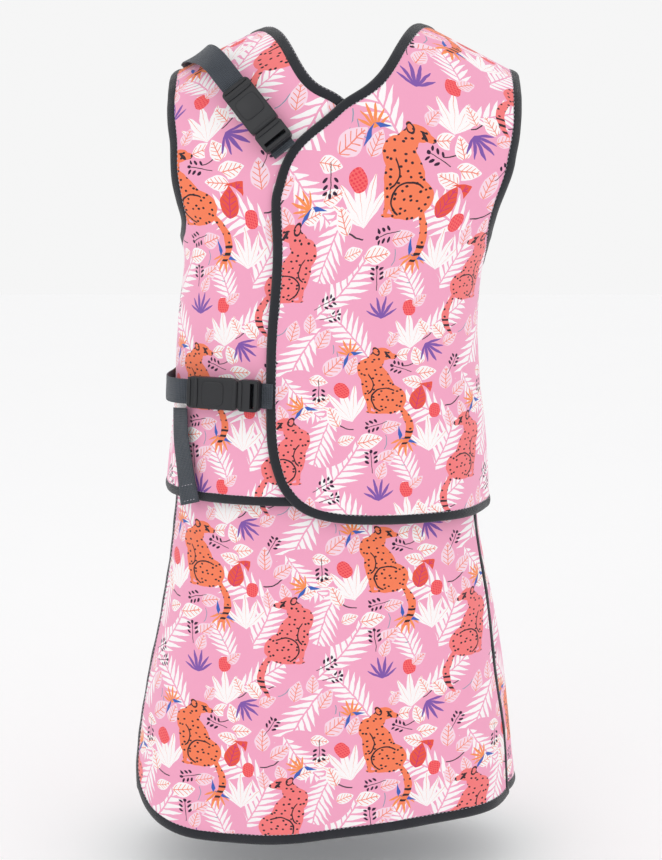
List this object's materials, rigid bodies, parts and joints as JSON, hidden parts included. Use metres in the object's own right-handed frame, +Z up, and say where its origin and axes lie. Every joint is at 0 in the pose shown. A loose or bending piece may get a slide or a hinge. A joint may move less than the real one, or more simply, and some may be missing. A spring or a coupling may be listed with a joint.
{
  "type": "radiology apron",
  "caption": "Two-piece radiation protection apron, a front-closing vest with side-release buckles over a wrap skirt, worn shape.",
  "frame": {"origin": "the wearer's shoulder rest, at the middle of the shoulder line's height, over the middle of the body", "axes": "+Z up, +X to the wearer's left, the front faces -Y"},
  "size_m": [0.4724, 0.3029, 0.9558],
  "materials": {
    "printed_fabric": "woven polyester with a pink print",
    "lining_fabric": "plain woven lining",
    "attenuating_core": "matt attenuating sheet",
    "binding_tape": "soft folded edge binding",
    "webbing": "ribbed woven webbing",
    "buckle_plastic": "moulded acetal",
    "hook_and_loop": "hook and loop pile",
    "pad_foam": "covered foam"
  },
  "bodies": {
    "root": {"back_hem_binding": "binding_tape", "back_neck_binding": "binding_tape", "inner_hem_binding": "binding_tape", "inner_neck_binding": "binding_tape", "left_armhole_back_binding": "binding_tape", "left_armhole_front_binding": "binding_tape", "left_shoulder_pad": "pad_foam", "right_armhole_back_binding": "binding_tape", "right_armhole_front_binding": "binding_tape", "right_shoulder_pad": "pad_foam", "vest_back_core": "attenuating_core", "vest_back_lining": "lining_fabric", "vest_back_shell": "printed_fabric", "vest_front_inner_core": "attenuating_core", "vest_front_inner_lining": "lining_fabric", "vest_front_inner_shell": "printed_fabric", "vest_side_core": "attenuating_core", "vest_side_hem_binding": "binding_tape", "vest_side_lining": "lining_fabric", "vest_side_shell": "printed_fabric", "vest_hook_patch": "hook_and_loop", "belt_webbing": "webbing", "shoulder_strap": "webbing"},
    "vest_flap": {"vest_flap_binding": "binding_tape", "vest_flap_core": "attenuating_core", "vest_flap_lining": "lining_fabric", "vest_flap_shell": "printed_fabric", "vest_loop_patch": "hook_and_loop", "waist_tab": "webbing", "shoulder_tab": "webbing", "waist_buckle_plug": "buckle_plastic", "shoulder_buckle_plug": "buckle_plastic"},
    "skirt": {"skirt_flap_binding": "binding_tape", "skirt_flap_core": "attenuating_core", "skirt_flap_lining": "lining_fabric", "skirt_flap_shell": "printed_fabric", "skirt_hem_binding": "binding_tape", "skirt_hook_patch": "hook_and_loop", "skirt_loop_patch": "hook_and_loop", "skirt_seam_binding": "binding_tape", "skirt_waistband": "binding_tape", "skirt_wrap_core": "attenuating_core", "skirt_wrap_lining": "lining_fabric", "skirt_wrap_shell": "printed_fabric"},
    "waist_socket": {"waist_buckle_socket": "buckle_plastic", "belt_end_webbing": "webbing"},
    "belt_tail": {"belt_tail": "webbing"},
    "shoulder_socket": {"shoulder_buckle_socket": "buckle_plastic"},
    "waist_latch_upper": {"waist_buckle_latch_upper": "buckle_plastic"},
    "waist_latch_lower": {"waist_buckle_latch_lower": "buckle_plastic"},
    "shoulder_latch_upper": {"shoulder_buckle_latch_upper": "buckle_plastic"},
    "shoulder_latch_lower": {"shoulder_buckle_latch_lower": "buckle_plastic"}
  },
  "joints": [
    {"name": "vest_flap_open", "type": "hinge", "parent": "root", "child": "vest_flap", "pos_m": [0.1229, -0.1124, -0.4], "axis": [0, 0, 1], "range_deg": [0, 100]},
    {"name": "skirt_drop", "type": "slide", "parent": "root", "child": "skirt", "axis": [0, 0, -1], "range_m": [0, 0.2]},
    {"name": "waist_buckle_release", "type": "slide", "parent": "root", "child": "waist_socket", "axis": [-1, 0, 0], "range_m": [0, 0.03]},
    {"name": "belt_tail_swing", "type": "hinge", "parent": "waist_socket", "child": "belt_tail", "pos_m": [-0.19142, -0.0698, -0.41334], "axis": [-0.6009, 0.7993, 0], "range_deg": [0, 70]},
    {"name": "shoulder_buckle_release", "type": "slide", "parent": "root", "child": "shoulder_socket", "axis": [-0.6028, 0.2751, 0.749], "range_m": [0, 0.02]},
    {"name": "waist_latch_upper_press", "type": "hinge", "parent": "vest_flap", "child": "waist_latch_upper", "pos_m": [-0.11749, -0.11915, -0.38151], "axis": [-0.2688, -0.9616, 0.0559], "range_deg": [0, 8], "stiffness_Nm_per_rad": 0.3, "deforming": ["waist_buckle_latch_upper"]},
    {"name": "waist_latch_lower_press", "type": "hinge", "parent": "vest_flap", "child": "waist_latch_lower", "pos_m": [-0.11819, -0.11995, -0.39848], "axis": [0.2688, 0.9616, -0.0559], "range_deg": [0, 8], "stiffness_Nm_per_rad": 0.3, "deforming": ["waist_buckle_latch_lower"]},
    {"name": "shoulder_latch_upper_press", "type": "hinge", "parent": "vest_flap", "child": "shoulder_latch_upper", "pos_m": [-0.07618, -0.11727, -0.07031], "axis": [-0.1496, -0.961, 0.2326], "range_deg": [0, 8], "stiffness_Nm_per_rad": 0.3, "deforming": ["shoulder_buckle_latch_upper"]},
    {"name": "shoulder_latch_lower_press", "type": "hinge", "parent": "vest_flap", "child": "shoulder_latch_lower", "pos_m": [-0.0895, -0.11774, -0.08085], "axis": [0.1496, 0.961, -0.2326], "range_deg": [0, 8], "stiffness_Nm_per_rad": 0.3, "deforming": ["shoulder_buckle_latch_lower"]}
  ]
}
